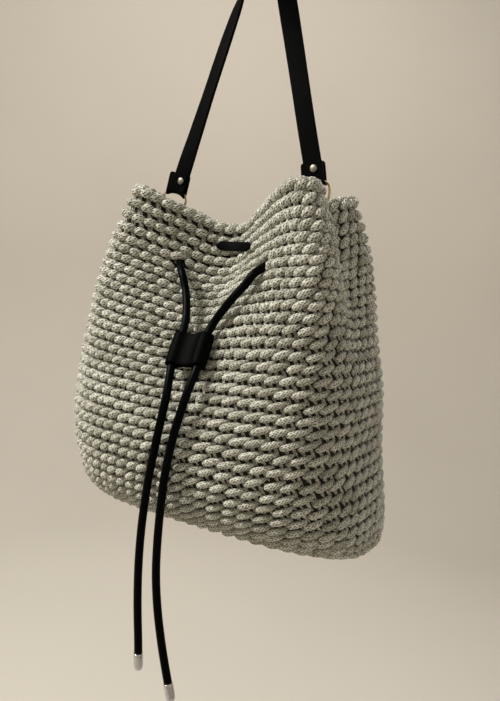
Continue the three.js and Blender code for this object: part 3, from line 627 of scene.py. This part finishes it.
grid[:4, :, 2] = SECTIONS[-1, 4] + GROUND_OUTER
grid[-4:, :, 2] = SECTIONS[-1, 4] + GROUND_INNER
ground_uv = np.stack(np.broadcast_arrays(
    np.arange(len(ground_row))[:, None] * GROUND_ROUND,
    np.arange(GROUND_STEPS + 1) / GROUND_STEPS * GROUND_GIRTH), -1)
tube_piece("crochet_ground", grid, uv=ground_uv, tint=[0.3], replaces=["bag_body"],
           material=ground_cotton)

# Cord lock: a strip of black leather wrapped into two channels for the tails, pinched between them.
# It sits on the two cords by friction. Its walls swell a little, and its edges are rounded.
LOCK_HEIGHT = 27.0 * MM
LOCK_ROUND = 5.8 * MM
LOCK_PINCH = 2.6 * MM
LOCK_LEATHER = 1.8 * MM
LOCK_EDGE = 0.5 * MM
LOCK_BEVEL = 0.15 * MM
LOCK_SWELL = 0.35 * MM
# the round wall of a channel ends at this share of its radius towards the other channel, and the bow from
# there to the pinch is drawn towards a point at this share of the half spacing from the middle
ROUND_END = 0.62
PINCH_EASE = 0.45
# clouds in the leather's shade and gloss, in millimetres
LEATHER_CLOUD = 11.11


def black_leather(name, low, high, grain, rough, relief_depth):
    """Material of smooth black leather: small pebbled grain, a little lighter on its high points, with
    a soft sheen. The grain is in millimetres."""
    material, tree = new_material(name)
    place = node(tree, "TexCoord")
    pebble = node(tree, "TexVoronoi", {
        "Vector": place.outputs["Object"], "Scale": 1 / (grain * MM), "Randomness": 0.9})
    cloud = node(tree, "TexNoise", {
        "Vector": place.outputs["Object"], "Scale": 1 / (LEATHER_CLOUD * MM), "Detail": 5.0,
        "Roughness": 0.6})
    both = node(tree, "Math", {0: pebble.outputs["Distance"], 1: 0.45, 2: cloud.outputs["Fac"]},
                operation="MULTIPLY_ADD")
    shade = node(tree, "ValToRGB", {"Fac": both.outputs[0]})
    shade.color_ramp.elements[0].color, shade.color_ramp.elements[1].color = linear(low), linear(high)
    shade.color_ramp.elements[0].position = 0.35
    gloss = node(tree, "MapRange", {"Value": cloud.outputs["Fac"], "To Min": rough[0], "To Max": rough[1]})
    relief = node(tree, "Bump", {"Height": both.outputs[0], "Strength": 0.5, "Distance": relief_depth})
    surface = node(tree, "BsdfPrincipled", {
        "Base Color": shade.outputs["Color"], "Roughness": gloss.outputs[0], "Normal": relief.outputs[0],
        "IOR": 1.5, "Specular IOR Level": 0.02})
    node(tree, "OutputMaterial", {"Surface": surface.outputs[0]})
    return material


# Smooth black leather: nearly black with a soft sheen. Pebbles of about half a millimetre on real leather
# are drawn 1.1 mm wide so that they show.
leather = black_leather("smooth_black_leather", "#010101", "#060606", 1.1, (0.46, 0.66), 0.0003)


def curve_between(start, pull, stop, count):
    """Points of a bow from start to stop that is drawn towards the pull point, without its last point."""
    t = np.linspace(0, 1, count, endpoint=False)[:, None]
    return (1 - t) ** 2 * np.array(start) + 2 * t * (1 - t) * np.array(pull) + t**2 * np.array(stop)


bridge = np.arccos(ROUND_END)
turn = np.linspace(-np.pi + bridge, np.pi - bridge, 40)[:, None]
right_round = np.array([HALF_SPACING, 0]) + LOCK_ROUND * np.concatenate([np.cos(turn), np.sin(turn)], 1)
ease_in = PINCH_EASE * HALF_SPACING
to_left = np.concatenate([
    curve_between(right_round[-1], (ease_in, LOCK_PINCH), (0, LOCK_PINCH), 8),
    curve_between((0, LOCK_PINCH), (-ease_in, LOCK_PINCH), right_round[-1] * [-1, 1], 8)])
outline = np.concatenate([right_round[:-1], to_left])
outline = np.concatenate([outline, -outline])
inward = np.roll(outline, -1, 0) - np.roll(outline, 1, 0)
inward = unit(np.stack([-inward[:, 1], inward[:, 0]], -1))
half = LOCK_HEIGHT / 2
top_edge = np.array([half - LOCK_BEVEL, half, half, half - LOCK_BEVEL])
through_edge = np.array([LOCK_BEVEL, LOCK_EDGE, LOCK_LEATHER - LOCK_EDGE, LOCK_LEATHER - LOCK_BEVEL])
outer_height = np.linspace(-half + LOCK_EDGE, half - LOCK_EDGE, 12)
inner_height = np.linspace(half - LOCK_EDGE, -half + LOCK_EDGE, 6)
edge_height = np.r_[outer_height, top_edge, inner_height, -top_edge]
edge_in = np.r_[np.zeros(len(outer_height)), through_edge, np.full(len(inner_height), LOCK_LEATHER),
                through_edge[::-1]]
swell = LOCK_SWELL * np.cos(np.pi * edge_height / LOCK_HEIGHT)
sleeve = outline[None] + inward[None] * (edge_in - swell)[:, None, None]
sleeve = np.concatenate([sleeve, np.broadcast_to(edge_height[:, None, None], sleeve.shape[:2] + (1,))], -1)
sleeve = LOCK_CENTRE + sleeve @ LOCK_TURN.T
tube_piece("lock", sleeve, closed=True, replaces=["cord_lock"], material=leather)

# Strap: a flat band of black leather, 15.5 mm wide and 2.4 mm thick, with rounded and polished edges.
# It hangs over a peg and turns on its way down so that its face looks forward at the two tabs.
STRAP_WIDTH = 15.5 * MM
STRAP_THICK = 2.4 * MM
STRAP_CORNER = 0.75 * MM
STRAP_STEP = 0.0025
EVEN_POINTS = 7
# middle line x, y, z in metres, and its turn from lying on the peg to facing front, in degrees
STRAP = np.array([
    [-0.0686, -0.0080, -0.1958, 90], [-0.0675, -0.0080, -0.1922, 90], [-0.0627, -0.0080, -0.1770, 90],
    [-0.0560, -0.0076, -0.1560, 80], [-0.0442, -0.0070, -0.1190, 70], [-0.0315, -0.0060, -0.0790, 67],
    [-0.0222, -0.0046, -0.0500, 58], [-0.0143, -0.0024, -0.0250, 24], [-0.0087, -0.0008, -0.0053, 0],
    [-0.0064, -0.0004, -0.0014, 0], [0.0, 0.0, 0.0012, 0], [0.0064, -0.0001, -0.0014, 0],
    [0.0086, -0.0002, -0.0053, 0], [0.0142, -0.0006, -0.0250, 24], [0.0213, -0.0012, -0.0500, 66],
    [0.0295, -0.0018, -0.0790, 82], [0.0404, -0.0023, -0.1190, 90], [0.0501, -0.0028, -0.1545, 90],
    [0.0580, -0.0030, -0.1824, 90], [0.0595, -0.0030, -0.1876, 90]])


def band_section(width, thick, corner, between=0):
    """Outline of a flat band seen end on, across and through: a rectangle with round corners and that many
    points between them on its broad sides."""
    turn = np.linspace(0, 0.5 * np.pi, 5)
    far = np.array([width / 2 - corner, thick / 2 - corner])
    quarter = np.stack([np.cos(turn), np.sin(turn)], -1) * corner + far
    flat = np.stack([np.linspace(far[0], -far[0], between + 2)[1:-1], np.full(between, thick / 2)], -1)
    upper = np.concatenate([quarter, flat, (quarter * [-1, 1])[::-1]])
    return np.concatenate([upper, -upper])


strap_way = smooth_way(STRAP[:, :3], STRAP_STEP)
strap_reach = np.linspace(0, 1, len(strap_way))
knots = np.argmin(np.linalg.norm(strap_way[:, None] - STRAP[None, :, :3], axis=-1), axis=0)
strap_turn = np.radians(np.interp(strap_reach, strap_reach[knots], STRAP[:, 3]))
evened = np.convolve(strap_turn, np.ones(EVEN_POINTS) / EVEN_POINTS, "valid")
strap_turn[EVEN_POINTS // 2:-(EVEN_POINTS // 2)] = evened
along = unit(np.gradient(strap_way, axis=0))
front = np.array([0, -1.0, 0])
away = unit(np.cross(front, along))
face = np.cos(strap_turn)[:, None] * away + np.sin(strap_turn)[:, None] * front
face = unit(face - np.sum(face * along, -1, keepdims=True) * along)
across = np.cross(face, along)
outline = band_section(STRAP_WIDTH, STRAP_THICK, STRAP_CORNER)
strap_rings = (strap_way[:, None] + outline[None, :, :1] * across[:, None]
               + outline[None, :, 1:] * face[:, None])
tube_piece("strap_band", strap_rings, sharp=True, replaces=["strap"], material=leather)

# Tabs: short leather strips folded round the flatter end of each ring, with the strap between their layers.
# The fold follows the ring's bend, and the free ends have round corners.
TAB_WIDTH = 19.0 * MM
TAB_HEIGHT = 14.8 * MM
TAB_LEATHER = 1.5 * MM
TAB_ROUND = 2.35 * MM
TAB_EDGE = 0.45 * MM
TAB_CORNER = 2.4 * MM
RING_HALF = 12.4 * MM
RING_CROWN = 7.5 * MM
# middle of the fold in metres, lean in radians, and middle of the rivet in metres
TABS = {"left": ((-0.0707, -0.0080, -0.1994), 0.21, (-0.0645, -0.0080, -0.1920)),
        "right": ((0.0596, -0.0030, -0.1915), -0.19, (0.0596, -0.0030, -0.1824))}
side_rise = TAB_HEIGHT * (1 - np.r_[0, 0.012, 0.03, 0.06, 0.1, 0.15, 0.3, 0.5, 0.75])
bend = np.linspace(0, -np.pi, 13)[:, None]
fold = np.concatenate([
    np.stack([np.full(len(side_rise), TAB_ROUND), side_rise], -1),
    TAB_ROUND * np.concatenate([np.cos(bend), np.sin(bend)], 1),
    np.stack([np.full(len(side_rise), -TAB_ROUND), side_rise], -1)[::-1]])
fold_line = np.concatenate([np.zeros((len(fold), 1)), fold], 1)
near_end = np.clip((TAB_HEIGHT - fold[:, 1]) / TAB_CORNER, 0, 1)
tab_half = TAB_WIDTH / 2 - TAB_CORNER * (1 - np.sqrt(1 - (1 - near_end) ** 2))
outline = band_section(TAB_WIDTH, TAB_LEATHER, TAB_EDGE, 11)
fold_along = unit(np.gradient(fold_line, axis=0))
fold_across = np.array([1.0, 0, 0])
fold_face = np.cross(fold_along, fold_across)
width_share = tab_half / (TAB_WIDTH / 2)
tab_flat = (fold_line[:, None] + (width_share[:, None] * outline[:, 0])[..., None] * fold_across
            + outline[None, :, 1:] * fold_face[:, None])
ring_bend = RING_CROWN * (1 - np.sqrt(1 - (tab_flat[..., 0] / RING_HALF) ** 2))
tab_flat[..., 2] -= ring_bend * np.minimum(1, 1 - tab_flat[..., 2] / TAB_HEIGHT)
for name, (bar, lean, _) in TABS.items():
    leaning = np.array(Matrix.Rotation(lean, 3, "Y"))
    tab = np.array(bar) + tab_flat @ leaning.T
    tube_piece("tab_" + name, tab, sharp=True, replaces=["strap_tab_" + name],
               material=leather)

# Rivets: dull nickel double-cap rivets that hold tab and strap together, domed in front and flat behind.
# Radius and place along the pin towards the front, in millimetres.
RIVET_PROFILE = np.array([
    [0.1, -4.1], [1.9, -4.1], [2.3, -3.95], [2.4, -3.7], [2.35, -3.4], [1.2, -3.35], [1.2, 3.35],
    [2.95, 3.35], [3.12, 3.5], [3.1, 3.7], [2.85, 4.05], [2.4, 4.32], [1.7, 4.54], [0.9, 4.67],
    [0.1, 4.7]]) * MM
RIVET_SIDES = 28
# Nickel plate, dull: a darker warm grey with blurred reflections.
nickel = plated("dull_nickel_plate", "#827e72", "#9c9788", (0.42, 0.58), 2.381)
for name, (_, _, rivet) in TABS.items():
    middle = np.array(rivet) + RIVET_PROFILE[:, 1:] * front
    rings = round_rings(middle, np.array([1.0, 0, 0]), RIVET_PROFILE[:, 0], RIVET_SIDES,
                        along=np.broadcast_to(front, middle.shape))
    tube_piece("stud_" + name, rings, replaces=["rivet_" + name], material=nickel)

# Rings: egg-shaped rings of thin pale gold wire, bent and soldered.
# The flatter end sits in the tab, and the long end goes through the crochet below the rim.
RING_WIRE = 1.0 * MM
RING_DROP = 23.5 * MM
RING_STEPS = 80
RING_SIDES = 14
# Pale gold plate: a light yellow with fairly clear reflections.
pale_gold = plated("pale_gold_plated_wire", "#9c8c66", "#d4c59c", (0.2, 0.42), 3.333)
turn = np.linspace(0, 2 * np.pi, RING_STEPS + 1)[:-1]
reach = np.where(np.sin(turn) > 0, RING_CROWN, RING_DROP - RING_CROWN)
ring_plan = np.stack([RING_HALF * np.cos(turn), reach * np.sin(turn) - RING_CROWN], -1)
ring_line = np.stack([ring_plan[:, 0], np.zeros(len(ring_plan)), ring_plan[:, 1]], -1)
ring_along = np.roll(ring_line, -1, 0) - np.roll(ring_line, 1, 0)
ring_rings = round_rings(ring_line, np.array([0, 1.0, 0]), np.full(len(ring_line), RING_WIRE), RING_SIDES,
                         along=ring_along)
for name, (bar, lean, _) in TABS.items():
    leaning = np.array(Matrix.Rotation(lean, 3, "Y"))
    tube_piece("wire_ring_" + name, np.array(bar) + ring_rings @ leaning.T, closed=True,
               replaces=["ring_" + name], material=pale_gold)

# Label: a narrow bare tag of black leather with pointed ends, fixed across the caved front below the rim.
# It bends with the wall and leans back with it.
LABEL_Z = -246.2 * MM
LABEL_LEAN = 0.29
LABEL_HEIGHT = 8.0 * MM
LABEL_THICK = 1.3 * MM
LABEL_EDGE = 0.4 * MM
LABEL_STEP = 0.0007
# each end narrows over this share of the length, down to this share of the height
LABEL_POINT = 0.12
LABEL_TIP = 0.3
# middle line x, y in metres
LABEL = np.array([
    [-0.0180, -0.0185], [-0.0115, -0.0166], [-0.0010, -0.0160], [0.0090, -0.0190], [0.0189, -0.0252]])
label_way = smooth_way(np.concatenate([LABEL, np.full((len(LABEL), 1), LABEL_Z)], 1), LABEL_STEP)
along = unit(np.gradient(label_way, axis=0))
level = np.cross(along, UP)
upright = -level * np.sin(LABEL_LEAN) + UP * np.cos(LABEL_LEAN)
face = np.cross(along, upright)
t = np.linspace(-0.5, 0.5, len(label_way))
share = LABEL_TIP + (1 - LABEL_TIP) * np.minimum(1, (0.5 - np.abs(t)) / LABEL_POINT)
outline = band_section(LABEL_HEIGHT, LABEL_THICK, LABEL_EDGE)
tag = (label_way[:, None] + (share[:, None] * outline[None, :, 0])[..., None] * -upright[:, None]
       + outline[None, :, 1:] * -face[:, None])
tube_piece("tag", tag, sharp=True, replaces=["label"], material=leather)

# Floor and light: a plain pale floor below the hanging tails that bends up into a round wall, and
# studio light from panels, the main one high on the left of the front. Sizes in metres.
FLOOR_Z = -1.15
FLOOR_CLOUD = 0.5
COVE_RADIUS = 2.6
COVE_BEND = 0.9
COVE_TOP = 2.2
COVE_SIDES = 64
BAG_MIDDLE = (0.0, 0.0, -0.33)
# Studio floor: a pale warm matt sheet with a faint mottle.
floor_material, tree = new_material("pale_studio_floor")
place = node(tree, "TexCoord")
mottle = node(tree, "TexNoise", {"Vector": place.outputs["Object"], "Scale": 1 / FLOOR_CLOUD, "Detail": 2.0})
shade = node(tree, "ValToRGB", {"Fac": mottle.outputs["Fac"]})
shade.color_ramp.elements[0].color, shade.color_ramp.elements[1].color = linear("#c9c3b9"), linear("#d0cac0")
surface = node(tree, "BsdfPrincipled", {"Base Color": shade.outputs["Color"], "Roughness": 0.85})
node(tree, "OutputMaterial", {"Surface": surface.outputs[0]})
bend = np.linspace(-0.5 * np.pi, 0, 13)
bent = np.stack([COVE_RADIUS - COVE_BEND + COVE_BEND * np.cos(bend),
                 FLOOR_Z + COVE_BEND + COVE_BEND * np.sin(bend)], -1)
cove = np.concatenate([[[0.01, FLOOR_Z], [1.0, FLOOR_Z]], bent, [[COVE_RADIUS, COVE_TOP]]])
turn = 2 * np.pi * np.arange(COVE_SIDES) / COVE_SIDES
points = np.stack([cove[:, :1] * np.cos(turn), cove[:, :1] * np.sin(turn),
                   np.broadcast_to(cove[:, 1:], (len(cove), COVE_SIDES))], -1)
index = np.arange(len(cove) * COVE_SIDES).reshape(len(cove), COVE_SIDES)
faces = np.stack([index[:-1], np.roll(index[:-1], -1, 1), np.roll(index[1:], -1, 1), index[1:]], -1)
faces = faces.reshape(-1, 4)
floor_mesh = bpy.data.meshes.new("floor")
floor_mesh.from_pydata(points.reshape(-1, 3).tolist(), [], faces.tolist() + [index[0, ::-1].tolist()])
floor_mesh.polygons.foreach_set("use_smooth", np.ones(len(floor_mesh.polygons), bool))
floor_mesh.materials.append(floor_material)
floor = bpy.data.objects.new("floor", floor_mesh)
bpy.context.scene.collection.objects.link(floor)
for name, at, aim, size, power, colour in (
        ("main_panel", (-1.12, -0.95, 1.00), BAG_MIDDLE, 0.35, 49.0, "#fffdf6"),
        ("top_panel", (-0.15, -0.35, 0.95), BAG_MIDDLE, 0.7, 2.0, "#fffdf8"),
        ("side_panel", (1.2, -0.5, 0.1), BAG_MIDDLE, 0.8, 2.6, "#fff8ee"),
        ("back_panel", (0.2, 1.1, 0.5), BAG_MIDDLE, 0.9, 7.0, "#ffffff"),
        ("cove_panel", (-0.5, 1.0, 1.4), (-2.1, 1.6, -0.1), 1.0, 19.0, "#fffaf2")):
    light = bpy.data.lights.new(name, "AREA")
    light.size, light.energy, light.color = size, power, linear(colour)[:3]
    lamp = bpy.data.objects.new(name, light)
    back = unit(np.array(at) - np.array(aim))
    right = unit(np.cross(UP, back))
    turned = np.stack([right, np.cross(back, right), back], 1)
    lamp.matrix_world = Matrix.Translation(at) @ Matrix(turned.tolist()).to_4x4()
    bpy.context.scene.collection.objects.link(lamp)
world = bpy.data.worlds.new("studio")
world.use_nodes = True
world.node_tree.nodes["Background"].inputs["Color"].default_value = linear("#d9cfc2")
world.node_tree.nodes["Background"].inputs["Strength"].default_value = 0.04
bpy.context.scene.world = world
bpy.context.scene.view_settings.view_transform = "Standard"
